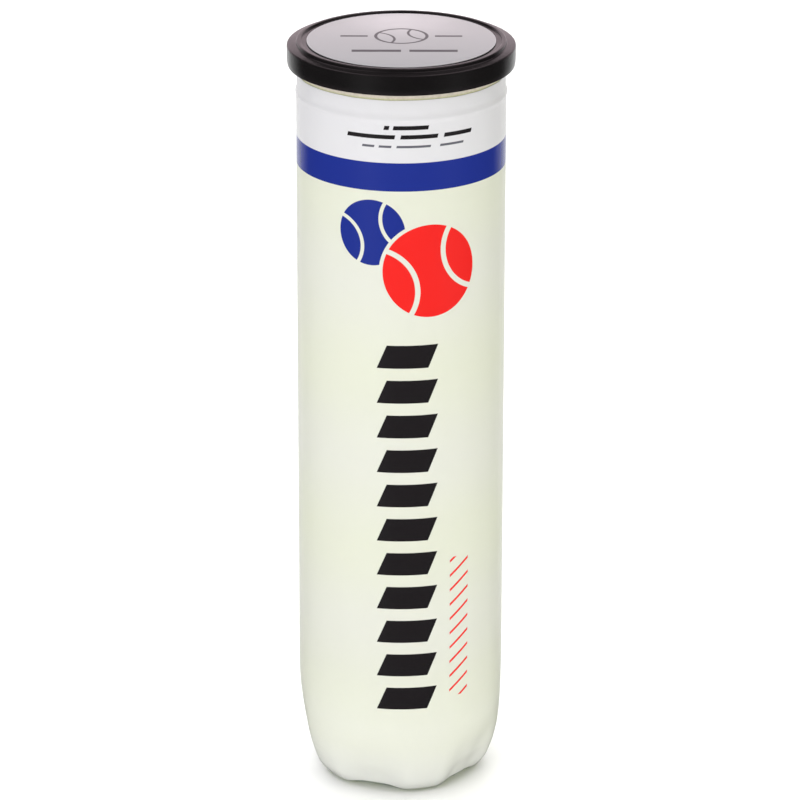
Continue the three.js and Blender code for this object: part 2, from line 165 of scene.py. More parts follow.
class Net:
    """Short words for building node trees."""

    def __init__(self, nt):
        self.nt = nt

    def put(self, value, socket):
        if hasattr(value, "is_output") or hasattr(value, "links"):
            self.nt.links.new(value, socket)
        else:
            socket.default_value = value

    def math(self, op, a, b=None, c=None, clamp=False):
        n = self.nt.nodes.new("ShaderNodeMath")
        n.operation = op
        n.use_clamp = clamp
        self.put(a, n.inputs[0])
        if b is not None:
            self.put(b, n.inputs[1])
        if c is not None:
            self.put(c, n.inputs[2])
        return n.outputs[0]

    def add(self, a, b): return self.math("ADD", a, b)
    def sub(self, a, b): return self.math("SUBTRACT", a, b)
    def mul(self, a, b): return self.math("MULTIPLY", a, b)
    def absolute(self, a): return self.math("ABSOLUTE", a)
    def maxi(self, a, b): return self.math("MAXIMUM", a, b)
    def mini(self, a, b): return self.math("MINIMUM", a, b)

    def step(self, d, soft=0.06):
        """1 inside a shape and 0 outside, from its signed distance in millimetres."""
        n = self.nt.nodes.new("ShaderNodeMapRange")
        n.clamp = True
        self.put(d, n.inputs["Value"])
        n.inputs["From Min"].default_value = soft
        n.inputs["From Max"].default_value = -soft
        n.inputs["To Min"].default_value = 0.0
        n.inputs["To Max"].default_value = 1.0
        return n.outputs["Result"]

    def remap(self, v, a, b, c, d, clamp=True):
        n = self.nt.nodes.new("ShaderNodeMapRange")
        n.clamp = clamp
        self.put(v, n.inputs["Value"])
        for key, val in zip(("From Min", "From Max", "To Min", "To Max"), (a, b, c, d)):
            n.inputs[key].default_value = val
        return n.outputs["Result"]

    def coords(self):
        """Object coordinates in millimetres."""
        tc = self.nt.nodes.new("ShaderNodeTexCoord")
        v = self.nt.nodes.new("ShaderNodeVectorMath")
        v.operation = "SCALE"
        self.nt.links.new(tc.outputs["Object"], v.inputs[0])
        v.inputs["Scale"].default_value = 1000.0
        return v.outputs[0]

    def xyz(self, vec):
        s = self.nt.nodes.new("ShaderNodeSeparateXYZ")
        self.nt.links.new(vec, s.inputs[0])
        return s.outputs[0], s.outputs[1], s.outputs[2]

    def vec(self, x, y, z):
        s = self.nt.nodes.new("ShaderNodeCombineXYZ")
        for i, v in enumerate((x, y, z)):
            self.put(v, s.inputs[i])
        return s.outputs[0]

    def scaled(self, vec, s):
        n = self.nt.nodes.new("ShaderNodeVectorMath")
        n.operation = "MULTIPLY"
        self.nt.links.new(vec, n.inputs[0])
        n.inputs[1].default_value = s if hasattr(s, "__len__") else (s, s, s)
        return n.outputs[0]

    def noise(self, vec, scale, detail=3.0, rough=0.5, dist=0.0):
        n = self.nt.nodes.new("ShaderNodeTexNoise")
        self.nt.links.new(vec, n.inputs["Vector"])
        n.inputs["Scale"].default_value = scale
        n.inputs["Detail"].default_value = detail
        n.inputs["Roughness"].default_value = rough
        n.inputs["Distortion"].default_value = dist
        return n.outputs[0]

    def voronoi(self, vec, scale, feature="F1"):
        n = self.nt.nodes.new("ShaderNodeTexVoronoi")
        n.feature = feature
        self.nt.links.new(vec, n.inputs["Vector"])
        n.inputs["Scale"].default_value = scale
        return n.outputs["Distance"]

    def colour(self, fac, a, b):
        n = self.nt.nodes.new("ShaderNodeMix")
        n.data_type = "RGBA"
        self.put(fac, n.inputs[0])
        self.put(a if not isinstance(a, tuple) else (*a, 1.0)[:4], n.inputs[6])
        self.put(b if not isinstance(b, tuple) else (*b, 1.0)[:4], n.inputs[7])
        return n.outputs[2]

    def bump(self, height, strength, distance, normal=None):
        n = self.nt.nodes.new("ShaderNodeBump")
        self.put(height, n.inputs["Height"])
        n.inputs["Strength"].default_value = strength
        n.inputs["Distance"].default_value = distance
        if normal is not None:
            self.nt.links.new(normal, n.inputs["Normal"])
        return n.outputs[0]

    def principled(self, **kw):
        n = self.nt.nodes.new("ShaderNodeBsdfPrincipled")
        for key, value in kw.items():
            key = key.replace("_", " ")
            if isinstance(value, tuple):
                value = (*value, 1.0)[:4]
            self.put(value, n.inputs[key])
        return n


def srgb(r, g, b):
    f = lambda c: c / 12.92 if c <= 0.04045 else ((c + 0.055) / 1.055) ** 2.4
    return tuple(f(c / 255) for c in (r, g, b))


# ------------------------------------------------------------------ dimensions shared with the CAD, in millimetres
WALL_R = 36.45
FILM_TOP = 265.8
FEET, FOOT_TURN = 5, math.radians(-74)
FOOT = [
    (0, 4.8), (8, 4.6), (15, 3.5), (19.5, 1.5), (22, 0.35), (23.2, 0), (26.4, 0), (28.3, 1.2), (30.2, 3.3),
    (31.8, 5.9), (33.1, 9.2), (34.3, 13.2), (35.3, 18.5), (35.9, 25), (36.25, 33.5), (WALL_R, 44),
]
VALLEY = [
    (0, 4.8), (8, 4.5), (15, 3.6), (19.2, 2.4), (21.6, 1.6), (23.2, 1.1), (25.4, 1.0), (27.0, 2.7), (28.2, 5.6),
    (29.1, 8.6), (30.1, 11.8), (31.6, 15.6), (33.5, 20.5), (35.2, 26.5), (36.2, 34.5), (WALL_R, 44),
]
TAB_HINGE = tuple(c * 1000 for c in next(j for j in frame["joints"] if j["name"] == "tab_raise")["pos_m"])


def spline(points, per):
    """Smooth curve through the points, per steps between each two. The last tangent runs straight up."""
    p = np.array(points, float)
    ext = np.vstack([[-p[1][0], p[1][1]], p, [p[-1][0], p[-1][1] + (p[-1][1] - p[-2][1])]])
    out = []
    for i in range(1, len(ext) - 2):
        p0, p1, p2, p3 = ext[i - 1: i + 3]
        for s in range(per):
            t = s / per
            out.append(0.5 * ((2 * p1) + (-p0 + p2) * t + (2 * p0 - 5 * p1 + 4 * p2 - p3) * t * t
                              + (-p0 + 3 * p1 - 3 * p2 + p3) * t ** 3))
    out.append(p[-1])
    out = np.array(out)
    out[:, 1] = np.maximum(out[:, 1], 0.0)
    return out


PER = 6
FOOT_S, VALLEY_S = spline(FOOT, PER), spline(VALLEY, PER)
BASE_N = 300
BASE_A = FOOT_TURN + np.arange(BASE_N) * TAU / BASE_N


def smoothstep(x, a=0.0, b=1.0):
    t = np.clip((np.asarray(x, float) - a) / (b - a), 0, 1)
    return t * t * (3 - 2 * t)


def foot_weight(a):
    c = (1 + np.cos(FEET * (a - FOOT_TURN))) / 2
    return smoothstep(c, 0, 0.85)


WEIGHT = foot_weight(BASE_A)


def base_row(i, off):
    """Row i of the lobed skin moved outward by off, as (BASE_N, 3) points."""
    w = WEIGHT[:, None]
    at = lambda k: VALLEY_S[k] + (FOOT_S[k] - VALLEY_S[k]) * w
    p = at(i)
    if i == 0:
        return np.array([[0, 0, p[0][1] - off]])
    before = at(i - 1)
    after = p + np.array([0, 1.0]) if i == len(FOOT_S) - 1 else at(i + 1)
    d1, d2 = p - before, after - p
    d1 /= np.maximum(np.linalg.norm(d1, axis=1, keepdims=True), 1e-9)
    d2 /= np.maximum(np.linalg.norm(d2, axis=1, keepdims=True), 1e-9)
    n = np.stack([d1[:, 1] + d2[:, 1], -(d1[:, 0] + d2[:, 0])], 1)
    n /= np.maximum(np.linalg.norm(n, axis=1, keepdims=True), 1e-9)
    q = p + n * off
    return np.stack([q[:, 0] * np.cos(BASE_A), q[:, 0] * np.sin(BASE_A), q[:, 1]], 1)


def round_row(r, z):
    r = np.broadcast_to(np.asarray(r, float), (BASE_N,))
    z = np.broadcast_to(np.asarray(z, float), (BASE_N,))
    return np.stack([r * np.cos(BASE_A), r * np.sin(BASE_A), z], 1)


def rows_object(name, rows, loop, sharp, mats, slot_of=None):
    verts, faces, index, starts = [], [], [], []
    for r in rows:
        starts.append((len(verts), len(r)))
        verts.extend(r.tolist())
    m = len(rows)
    for i in range(m if loop else m - 1):
        (a, na), (b, nb) = starts[i], starts[(i + 1) % m]
        n = max(na, nb)
        for k in range(n):
            k1 = (k + 1) % n
            if na == 1:
                faces.append((a, b + k1, b + k))
            elif nb == 1:
                faces.append((a + k, a + k1, b))
            else:
                faces.append((a + k, a + k1, b + k1, b + k))
            index.append(slot_of(i) if slot_of else 0)
    return new_object(name, verts, faces, sharp, mats, index)


# front of the can as an angle: 0 at -Y, positive towards +X
FRONT = (BASE_A + math.pi / 2 + math.pi) % TAU - math.pi

# ------------------------------------------------------------------ materials
FILM_WHITE = (0.905, 0.905, 0.89)
INK_BLUE = srgb(26, 44, 134)
INK_RED = srgb(230, 31, 27)
INK_BLACK = srgb(30, 27, 29)
INK_GREY = srgb(96, 96, 104)


def film_material():
    """Milky shrink film over yellow balls, with its print: a blue band, two ball pictograms, a column of slanted black blocks, thin red slashes and plain rules."""
    mat, nt, out = new_material("sleeve_film_printed")
    n = Net(nt)
    co = n.coords()
    x, y, z = n.xyz(co)
    phi = n.math("ARCTAN2", x, n.mul(y, -1.0))
    # the artwork is printed twice, once on each side of the can
    phi = n.math("WRAP", phi, math.pi / 2 + 0.12, -math.pi / 2 + 0.12)
    u = n.mul(phi, 37.0)

    def box(uc, vc, hw, hh, shear=0.0):
        uu = n.sub(u, uc) if not shear else n.sub(n.sub(u, uc), n.mul(n.sub(z, vc), shear))
        return n.maxi(n.sub(n.absolute(uu), hw), n.sub(n.absolute(n.sub(z, vc)), hh))

    def disc(uc, vc, r):
        du, dv = n.sub(u, uc), n.sub(z, vc)
        return n.sub(n.math("SQRT", n.add(n.mul(du, du), n.mul(dv, dv))), r)

    def ball_icon(uc, vc, r):
        """Signed distance of a disc with two curved gaps for the seam."""
        d = disc(uc, vc, r)
        gap = None
        for s in (-1, 1):
            ring = n.sub(n.absolute(disc(uc + s * 1.20 * r, vc + s * 0.44 * r, 0.93 * r)), 0.055 * r)
            gap = ring if gap is None else n.mini(gap, ring)
        return n.maxi(d, n.mul(gap, -1.0))

    # plain band all the way round
    band = n.sub(n.absolute(n.sub(z, 238.15)), 5.15)
    blue_ball = ball_icon(-10.5, 217.6, 12.0)
    red_disc = disc(10.5, 203.5, 17.0)
    blue_ball = n.maxi(blue_ball, n.mul(n.sub(red_disc, 1.3), -1.0))
    blue = n.step(n.mini(band, blue_ball))
    red_ball = ball_icon(10.5, 203.5, 17.0)

    # column of slanted blocks
    vb = n.math("WRAP", n.sub(z, 36.6), 13.1, 0.0)
    in_block = n.sub(n.absolute(n.sub(vb, 4.3)), 4.3)
    skew = n.mul(n.sub(vb, 4.3), 0.42)
    col = n.sub(n.absolute(n.sub(n.sub(u, 2.4), skew)), 9.2)
    zone = n.sub(n.absolute(n.sub(z, 107.0)), 71.4)
    blocks = n.maxi(n.maxi(in_block, col), zone)
    # thin red slashes
    rb = n.math("WRAP", n.sub(n.sub(z, 39.0), n.mul(n.sub(u, 22.3), 0.75)), 5.6, 0.0)
    rbar = n.maxi(n.sub(n.absolute(n.sub(rb, 0.55)), 0.5), n.sub(n.absolute(n.sub(u, 22.3)), 3.9))
    rzone = n.sub(n.absolute(n.sub(z, 67.0)), 27.2)
    red = n.step(n.mini(red_ball, n.maxi(rbar, rzone)))

    # plain rules in three lines, broken into short lengths
    rules = None
    for (uc, vc, hw, hh) in ((-5.1, 256.0, 0.9, 0.75), (3.4, 256.0, 6.2, 0.75), (-10.8, 252.7, 8.6, 0.75),
                             (6.4, 252.7, 6.6, 0.75), (20.9, 252.7, 5.6, 0.75)):
        d = box(uc, vc, hw, hh, shear=0.25)
        rules = d if rules is None else n.mini(rules, d)
    thin = None
    for (uc, vc, hw, hh) in ((-11.6, 249.2, 2.2, 0.42), (-5.6, 249.2, 2.2, 0.42), (4.4, 249.2, 6.0, 0.42), (18.4, 249.2, 4.6, 0.42)):
        d = box(uc, vc, hw, hh, shear=0.25)
        thin = d if thin is None else n.mini(thin, d)
    black = n.step(n.mini(blocks, rules))
    grey = n.step(thin)

    # painted glow: a soft yellow-green tint where the balls come close to the film stands in for their colour showing
    # through it; the film is lighter towards the bottom; the top is printed white
    big = n.noise(co, 0.03, 2.0)
    mottled = n.noise(co, 0.45, 4.0, 0.6)
    lap = n.math("WRAP", n.sub(n.sub(z, 33.0), n.mul(n.sub(big, 0.5), 14.0)), 32.95, -32.95)
    painted_ball_glow = n.math("EXPONENT", n.mul(n.mul(lap, lap), -1.0 / 430.0))
    painted_ball_glow = n.mul(painted_ball_glow, n.remap(mottled, 0.3, 0.7, 0.85, 1.0))
    film = n.colour(painted_ball_glow, (0.875, 0.878, 0.802), (0.872, 0.889, 0.750))
    film = n.colour(n.remap(z, 50.0, 28.0, 0.0, 0.85), film, (0.935, 0.945, 0.848))
    cool = n.remap(z, 240.0, 243.5, 0.0, 1.0)
    film = n.colour(cool, film, (0.757, 0.748, 0.780))
    film = n.colour(n.remap(z, 20.0, 3.0, 0.0, 0.70), film, (0.935, 0.935, 0.935))
    film = n.colour(n.remap(mottled, 0.35, 0.75, 0.0, 0.10), film, (0.80, 0.82, 0.78))
    c = n.colour(blue, film, INK_BLUE)
    c = n.colour(red, c, INK_RED)
    c = n.colour(black, c, INK_BLACK)
    c = n.colour(grey, c, INK_GREY)
    ink = n.maxi(n.maxi(blue, red), n.maxi(black, grey))

    # fine flow lines, soft puckers and handling scuffs in the gloss
    lines = n.noise(n.scaled(co, (1.0, 1.0, 0.08)), 0.9, 3.0, 0.55)
    pucker = n.noise(co, 0.12, 2.0, 0.5)
    scuff = n.noise(n.scaled(co, (0.5, 0.5, 1.7)), 1.5, 5.0, 0.7)
    rough = n.remap(scuff, 0.45, 0.8, 0.15, 0.26)
    normal = n.bump(lines, 0.08, 0.00016)
    normal = n.bump(pucker, 0.12, 0.0008, normal)
    p = n.principled(Base_Color=c, Roughness=rough, IOR=1.5, Normal=normal)
    tr = nt.nodes.new("ShaderNodeBsdfTranslucent")
    nt.links.new(n.colour(ink, (0.97, 0.97, 0.95), (0.05, 0.05, 0.06)), tr.inputs["Color"])
    mix = nt.nodes.new("ShaderNodeMixShader")
    nt.links.new(n.mul(n.remap(ink, 0, 1, 0.30, 0.02), n.remap(cool, 0, 1, 1.0, 0.5)), mix.inputs[0])
    nt.links.new(p.outputs[0], mix.inputs[1])
    nt.links.new(tr.outputs[0], mix.inputs[2])
    nt.links.new(mix.outputs[0], out.inputs[0])
    return mat


def film_back_material():
    """Unprinted inner face of the film."""
    mat, nt, out = new_material("sleeve_film_inside")
    n = Net(nt)
    co = n.coords()
    v = n.noise(co, 0.4, 3.0)
    d = nt.nodes.new("ShaderNodeBsdfDiffuse")
    nt.links.new(n.colour(v, (0.86, 0.87, 0.84), (0.90, 0.91, 0.88)), d.inputs["Color"])
    through = nt.nodes.new("ShaderNodeBsdfTranslucent")
    through.inputs["Color"].default_value = (0.95, 0.96, 0.93, 1.0)
    milky = nt.nodes.new("ShaderNodeMixShader")
    milky.inputs[0].default_value = 0.45
    nt.links.new(d.outputs[0], milky.inputs[1])
    nt.links.new(through.outputs[0], milky.inputs[2])
    t = nt.nodes.new("ShaderNodeBsdfTransparent")
    mix = nt.nodes.new("ShaderNodeMixShader")
    nt.links.new(n.remap(v, 0.2, 0.8, 0.24, 0.16), mix.inputs[0])
    nt.links.new(milky.outputs[0], mix.inputs[1])
    nt.links.new(t.outputs[0], mix.inputs[2])
    nt.links.new(mix.outputs[0], out.inputs[0])
    return mat


def pet_material():
    """Clear blown plastic: see-through, glossy, a little wavy."""
    mat, nt, out = new_material("clear_bottle_plastic")
    n = Net(nt)
    co = n.coords()
    wavy = n.noise(n.scaled(co, (1, 1, 0.5)), 0.09, 2.0)
    haze = n.noise(co, 0.8, 4.0, 0.6)
    t = nt.nodes.new("ShaderNodeBsdfTransparent")
    nt.links.new(n.colour(haze, (0.93, 0.955, 0.95), (0.97, 0.985, 0.98)), t.inputs["Color"])
    g = nt.nodes.new("ShaderNodeBsdfGlossy")
    nt.links.new(n.remap(haze, 0.4, 0.8, 0.04, 0.14), g.inputs["Roughness"])
    g.inputs["Color"].default_value = (1, 1, 1, 1)
    nt.links.new(n.bump(wavy, 0.2, 0.0008), g.inputs["Normal"])
    f = nt.nodes.new("ShaderNodeFresnel")
    f.inputs["IOR"].default_value = 1.52
    # the transparent part doesn't bend light, so a ray leaving the plastic must not be mirrored back into it
    side = nt.nodes.new("ShaderNodeNewGeometry")
    mix = nt.nodes.new("ShaderNodeMixShader")
    nt.links.new(n.mul(f.outputs[0], n.sub(1.0, side.outputs["Backfacing"])), mix.inputs[0])
    nt.links.new(t.outputs[0], mix.inputs[1])
    nt.links.new(g.outputs[0], mix.inputs[2])
    # narrow band painted on the neck: a cream highlight just under the cap over an olive band that stands in for the
    # shaded ball seen through the clear plastic
    x, y, z = n.xyz(co)
    ring = n.mul(n.step(n.sub(n.absolute(n.sub(z, 266.5)), 1.65), 0.22), n.remap(haze, 0.25, 0.7, 0.74, 0.9))
    d = nt.nodes.new("ShaderNodeBsdfDiffuse")
    neck_highlight_paint = n.colour(haze, (0.72, 0.65, 0.56), (0.80, 0.72, 0.62))
    nt.links.new(n.colour(n.remap(z, 266.7, 265.9, 0.0, 1.0), neck_highlight_paint, (0.60, 0.60, 0.36)), d.inputs["Color"])
    painted_neck_band = nt.nodes.new("ShaderNodeMixShader")
    nt.links.new(ring, painted_neck_band.inputs[0])
    nt.links.new(mix.outputs[0], painted_neck_band.inputs[1])
    nt.links.new(d.outputs[0], painted_neck_band.inputs[2])
    nt.links.new(painted_neck_band.outputs[0], out.inputs[0])
    return mat


def metal_material(name, base, dark, rough, grain_scale, metal, circular=True, bump=0.08):
    mat, nt, out = new_material(name)
    n = Net(nt)
    co = n.coords()
    x, y, z = n.xyz(co)
    if circular:
        r = n.math("SQRT", n.add(n.mul(x, x), n.mul(y, y)))
        grain = n.noise(n.vec(n.mul(x, 0.05), n.mul(y, 0.6), n.mul(z, 0.6)), grain_scale, 4.0, 0.6)
        rings = n.noise(n.vec(r, 0.0, z), grain_scale * 2.0, 2.0)
        tex = n.add(n.mul(grain, 0.7), n.mul(rings, 0.3))
    else:
        tex = n.noise(n.scaled(co, (0.08, 1.0, 1.0)), grain_scale, 4.0, 0.6)
    cloud = n.noise(co, 0.18, 3.0)
    c = n.colour(n.remap(tex, 0.3, 0.7, 0, 0.5), base, dark)
    c = n.colour(n.remap(cloud, 0.4, 0.7, 0, 0.25), c, dark)
    rr = n.remap(tex, 0.3, 0.7, rough * 0.85, rough * 1.25)
    p = n.principled(Base_Color=c, Metallic=metal, Roughness=rr, IOR=1.5, Normal=n.bump(tex, bump, 0.0002))
    nt.links.new(p.outputs[0], out.inputs[0])
    return mat


def cap_material():
    """Black injection-moulded plastic: fine satin texture, faint radial flow, light rub marks, and a painted reflection
    that lightens the skirt towards its bottom edge.
    """
    mat, nt, out = new_material("overcap_black_plastic")
    n = Net(nt)
    co = n.coords()
    x, y, z = n.xyz(co)
    grain = n.noise(co, 5.0, 3.0, 0.6)
    cloud = n.noise(co, 0.12, 3.0, 0.55)
    rub = n.noise(n.scaled(co, (0.3, 0.3, 2.2)), 1.1, 5.0, 0.7)
    c = n.colour(cloud, (0.0046, 0.0039, 0.0042), (0.0070, 0.0061, 0.0064))
    c = n.colour(n.remap(rub, 0.62, 0.85, 0, 0.35), c, (0.022, 0.021, 0.022))
    # painted reflection: the skirt is made lighter towards its bottom edge, broken up by the rub noise
    lower_skirt_painted_reflection_and_rub = n.mul(n.remap(z, 270.4, 268.7, 0.0, 1.0), n.remap(rub, 0.35, 0.75, 0.6, 1.0))
    c = n.colour(lower_skirt_painted_reflection_and_rub, c, (0.0150, 0.0118, 0.0128))
    rough = n.add(n.remap(cloud, 0.3, 0.7, 0.17, 0.22), n.remap(rub, 0.55, 0.85, 0.0, 0.08))
    p = n.principled(Base_Color=c, Roughness=rough, IOR=1.5, Specular_IOR_Level=0.5,
                     Normal=n.bump(grain, 0.10, 0.00006, n.bump(cloud, 0.15, 0.0005)))
    nt.links.new(p.outputs[0], out.inputs[0])
    return mat


def label_material():
    """Silver-grey round label: a ball in outline, short rules and a broken rule, all generic."""
    mat, nt, out = new_material("lid_label_print")
    n = Net(nt)
    co = n.coords()
    x, y, z = n.xyz(co)
    rad = n.math("SQRT", n.add(n.mul(x, x), n.mul(y, y)))

    def oval(cx, cy, rx, ry):
        dx, dy = n.mul(n.sub(x, cx), 1.0 / rx), n.mul(n.sub(y, cy), 1.0 / ry)
        return n.mul(n.sub(n.math("SQRT", n.add(n.mul(dx, dx), n.mul(dy, dy))), 1.0), min(rx, ry))

    def strip(cx, cy, hw, hh):
        return n.maxi(n.sub(n.absolute(n.sub(x, cx)), hw), n.sub(n.absolute(n.sub(y, cy)), hh))

    # one ball drawn in outline between two short rules
    ball = n.sub(n.absolute(oval(0.0, 4.5, 9.0, 9.0)), 0.55)
    seams = None
    for s_ in (-1, 1):
        d = n.sub(n.absolute(oval(s_ * 10.9, 4.5 + s_ * 3.8, 8.5, 8.5)), 0.45)
        seams = d if seams is None else n.mini(seams, d)
    seams = n.maxi(seams, oval(0.0, 4.5, 9.0, 9.0))
    mark = n.mini(strip(-16.6, 4.5, 4.8, 0.9), strip(16.6, 4.5, 4.8, 0.9))
    words = n.mini(strip(-8.7, -13.6, 8.6, 1.35), strip(11.2, -13.6, 8.4, 1.35))
    dark = n.step(n.mini(n.mini(mark, words), n.mini(ball, seams)))
    speck = n.noise(co, 6.0, 3.0, 0.6)
    cloud = n.noise(co, 0.08, 2.0)
    # silver ground, darker towards the front and lighter towards the back
    silver_and_painted_highlight = n.colour(n.remap(y, -30.0, 26.0, 0.0, 1.0), srgb(162, 160, 164), srgb(176, 171, 175))
    # painted highlight: a lighter patch in the middle towards the back stands in for the sheen of a light on the foil
    painted_highlight = n.math("EXPONENT", n.mul(n.mul(x, x), -1.0 / 300.0))
    silver_and_painted_highlight = n.colour(n.mul(painted_highlight, n.remap(y, 0.0, 24.0, 0.0, 0.9)), silver_and_painted_highlight, srgb(208, 201, 206))
    silver_and_painted_highlight = n.colour(n.remap(speck, 0.35, 0.7, 0.0, 0.2), silver_and_painted_highlight, srgb(181, 179, 183))
    silver_and_painted_highlight = n.colour(n.remap(cloud, 0.35, 0.65, 0.0, 0.2), silver_and_painted_highlight, srgb(168, 166, 171))
    edge = n.step(n.mul(n.sub(rad, 32.85), -1.0), 0.08)
    c = n.colour(n.mul(dark, 0.92), silver_and_painted_highlight, srgb(66, 62, 68))
    c = n.colour(n.mul(edge, 0.5), c, srgb(190, 188, 192))
    p = n.principled(Base_Color=c, Roughness=n.remap(speck, 0.3, 0.7, 0.34, 0.46), IOR=1.45, Metallic=0.12,
                     Normal=n.bump(speck, 0.05, 0.0001))
    nt.links.new(p.outputs[0], out.inputs[0])
    return mat


def felt_material():
    """Woollen optic-yellow felt: tangled fibres, soft tufts, lighter tips."""
    mat, nt, out = new_material("ball_felt_yellow")
    n = Net(nt)
    co = n.coords()
    warp = nt.nodes.new("ShaderNodeTexNoise")
    nt.links.new(co, warp.inputs["Vector"])
    warp.inputs["Scale"].default_value = 0.5
    warp.inputs["Detail"].default_value = 3.0
    add = nt.nodes.new("ShaderNodeVectorMath")
    add.operation = "MULTIPLY_ADD"
    nt.links.new(warp.outputs["Color"], add.inputs[0])
    add.inputs[1].default_value = (2.6, 2.6, 2.6)
    nt.links.new(co, add.inputs[2])
    fibres = n.noise(add.outputs[0], 1.9, 6.0, 0.72, 0.6)
    tufts = n.noise(co, 0.33, 3.0, 0.6)
    cells = n.voronoi(add.outputs[0], 1.1)
    h = n.add(n.mul(fibres, 0.75), n.mul(cells, 0.25))
    c = n.colour(n.remap(fibres, 0.3, 0.72, 0, 1), (0.46, 0.60, 0.035), (0.80, 0.93, 0.14))
    c = n.colour(n.remap(tufts, 0.35, 0.7, 0, 0.5), c, (0.88, 0.96, 0.32))
    p = n.principled(Base_Color=c, Roughness=n.remap(fibres, 0.3, 0.7, 0.92, 1.0), IOR=1.4, Specular_IOR_Level=0.12,
                     Sheen_Weight=0.55, Sheen_Roughness=0.45, Sheen_Tint=(0.95, 1.0, 0.6),
                     Normal=n.bump(h, 0.55, 0.0009))
    nt.links.new(p.outputs[0], out.inputs[0])
    return mat


def plain_rough(name, a, b, rough, scale, bump_mm):
    mat, nt, out = new_material(name)
    n = Net(nt)
    co = n.coords()
    v = n.noise(co, scale, 4.0, 0.6)
    w = n.noise(co, scale * 0.15, 2.0)
    c = n.colour(n.remap(v, 0.3, 0.7, 0, 1), a, b)
    c = n.colour(n.remap(w, 0.4, 0.7, 0, 0.3), c, a)
    p = n.principled(Base_Color=c, Roughness=n.remap(v, 0.3, 0.7, rough - 0.07, rough + 0.07), IOR=1.5,
                     Normal=n.bump(v, 0.3, bump_mm * MM))
    nt.links.new(p.outputs[0], out.inputs[0])
    return mat


FILM = film_material()
FILM_BACK = film_back_material()
PET = pet_material()
GOLD = metal_material("gold_lacquered_steel", (0.86, 0.63, 0.23), (0.77, 0.54, 0.17), 0.23, 1.6, 0.82, bump=0.04)
ALU = metal_material("bare_aluminium_tab", (0.84, 0.85, 0.87), (0.68, 0.69, 0.72), 0.26, 2.2, 0.80, circular=False)
COMPOUND = plain_rough("seaming_compound", (0.24, 0.29, 0.33), (0.32, 0.37, 0.41), 0.75, 1.4, 0.2)
CAP = cap_material()
LABEL = label_material()
FELT = felt_material()
RUBBER = plain_rough("grey_core_rubber", (0.045, 0.047, 0.05), (0.085, 0.087, 0.09), 0.8, 1.2, 0.3)
SEAM = plain_rough("white_seam_rubber", (0.70, 0.71, 0.62), (0.80, 0.81, 0.74), 0.6, 1.0, 0.25)

# ------------------------------------------------------------------ bottle
PET_OUT, PET_T, FILM_IN, FILM_OUT = 0.30, 0.70, 0.35, 0.55
LAST = len(FOOT_S) - 1
FILM_FIRST = 7 * PER


def pet_off(i):
    return PET_OUT * float(smoothstep(i, 6 * PER, 9 * PER))


# height and radius above the lobed base, relative to the straight wall
STRAIGHT = [(0, z) for z in np.linspace(50, 250, 21)]
BEAD = []
for z in np.arange(252.0, 266.01, 0.4):
    bead = 0.30 * math.exp(-((z - 258.75) / 0.95) ** 2)
    neck = -0.25 * float(smoothstep(z, 258.6, 261.4))
    BEAD.append((bead + neck, z))


def bottle():
    rows = [base_row(0, 0)]
    for i in range(1, LAST + 1):
        rows.append(base_row(i, pet_off(i)))
    for d, z in STRAIGHT + BEAD:
        rows.append(round_row(WALL_R + PET_OUT + d, z))
    for r, z in ((36.5, 267.5), (36.45, 270.0), (36.3, 271.6), (36.6, 271.95), (37.1, 272.2), (37.4, 272.5), (37.4, 272.95),
                 (37.2, 273.15), (36.2, 273.2), (35.8, 273.05), (35.65, 272.7), (35.75, 270.0), (35.8, 267.5)):
        rows.append(round_row(r, z))
    for d, z in (STRAIGHT + BEAD)[::-1]:
        rows.append(round_row(WALL_R + PET_OUT + d - PET_T, z))
    for i in range(LAST, 0, -1):
        rows.append(base_row(i, pet_off(i) - PET_T))
    rows.append(base_row(0, -PET_T))
    o = rows_object("bottle_shell_clear", rows, False, 50, (PET,))
    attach(o, "can")
    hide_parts("bottle_shell")
    return o


def film_wave(z):
    """Small outward movement of the film at a height, all the way round, in millimetres."""
    top = float(smoothstep(z, 253, 262))
    mid = float(smoothstep(z, 40, 60)) * (1 - top)
    low = 1 - float(smoothstep(z, 8, 40))
    a = FRONT
    w = 0.035 * top * (np.sin(9 * a + 0.7) * np.sin(0.55 * z + 2 * a) + 0.7 * np.sin(23 * a + 1.9 + 0.8 * z))
    w = w + 0.02 * mid * np.sin(5 * a + 0.031 * z) * np.sin(0.045 * z + 1.3)
    w = w + 0.03 * low * np.sin(17 * a + 0.3 * z) * np.sin(0.7 * z + 3 * a)
    # puckers beside the bead at both sides of the can
    for a0, z0, wa, wz, h in ((-1.40, 262.0, 0.10, 1.1, 0.22), (1.36, 260.3, 0.07, 2.6, 0.26), (1.46, 263.2, 0.05, 0.9, 0.16),
                              (-1.2, 260.8, 0.16, 0.8, 0.10), (0.9, 261.7, 0.2, 0.7, 0.07), (-0.42, 262.4, 0.05, 1.2, 0.08),
                              (2.6, 261.5, 0.12, 1.3, 0.2)):
        w = w + h * np.exp(-((a - a0) / wa) ** 2 - ((z - z0) / wz) ** 2)
    # overlap of the film's two edges at the back
    over = smoothstep(a, 2.48, 2.483) * (1 - smoothstep(a, 2.60, 2.64))
    return w + 0.09 * over


